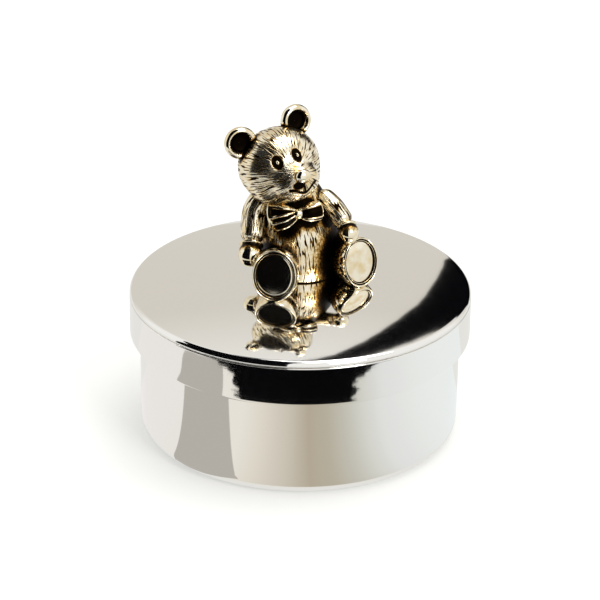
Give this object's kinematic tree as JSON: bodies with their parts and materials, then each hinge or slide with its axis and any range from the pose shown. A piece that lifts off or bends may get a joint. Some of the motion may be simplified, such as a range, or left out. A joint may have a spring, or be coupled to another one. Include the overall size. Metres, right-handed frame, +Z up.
{
  "type": "tooth box",
  "caption": "Round polished metal keepsake box with a domed lift-off lid that carries a seated teddy bear figure wearing a bow tie.",
  "frame": {"origin": "middle of the box's flat underside", "axes": "+Z up through the lid and the figure, -Y the side that the picture looks at"},
  "size_m": [0.05, 0.05, 0.0498],
  "materials": {
    "silver_plate": "mirror-polished silver plate",
    "antiqued_gold": "antiqued gold plate, dark in the recesses",
    "velvet": "flocked velvet",
    "screw_steel": "zinc-plated"
  },
  "bodies": {
    "box": {"box_cup": "silver_plate", "cup_floor_pad": "velvet", "cup_wall_lining": "velvet"},
    "lid": {"lid_ring": "silver_plate", "lid_top": "silver_plate", "lid_lining": "velvet", "figure_washer": "screw_steel", "figure_screw": "screw_steel", "figure_body": "antiqued_gold", "figure_head": "antiqued_gold", "figure_left_arm": "antiqued_gold", "figure_right_arm": "antiqued_gold", "figure_left_leg": "antiqued_gold", "figure_right_leg": "antiqued_gold", "figure_bow_tie": "antiqued_gold"}
  },
  "joints": [
    {"name": "lid_lift", "type": "slide", "parent": "box", "child": "lid", "axis": [0, 0, 1], "range_m": [0, 0.035]}
  ]
}
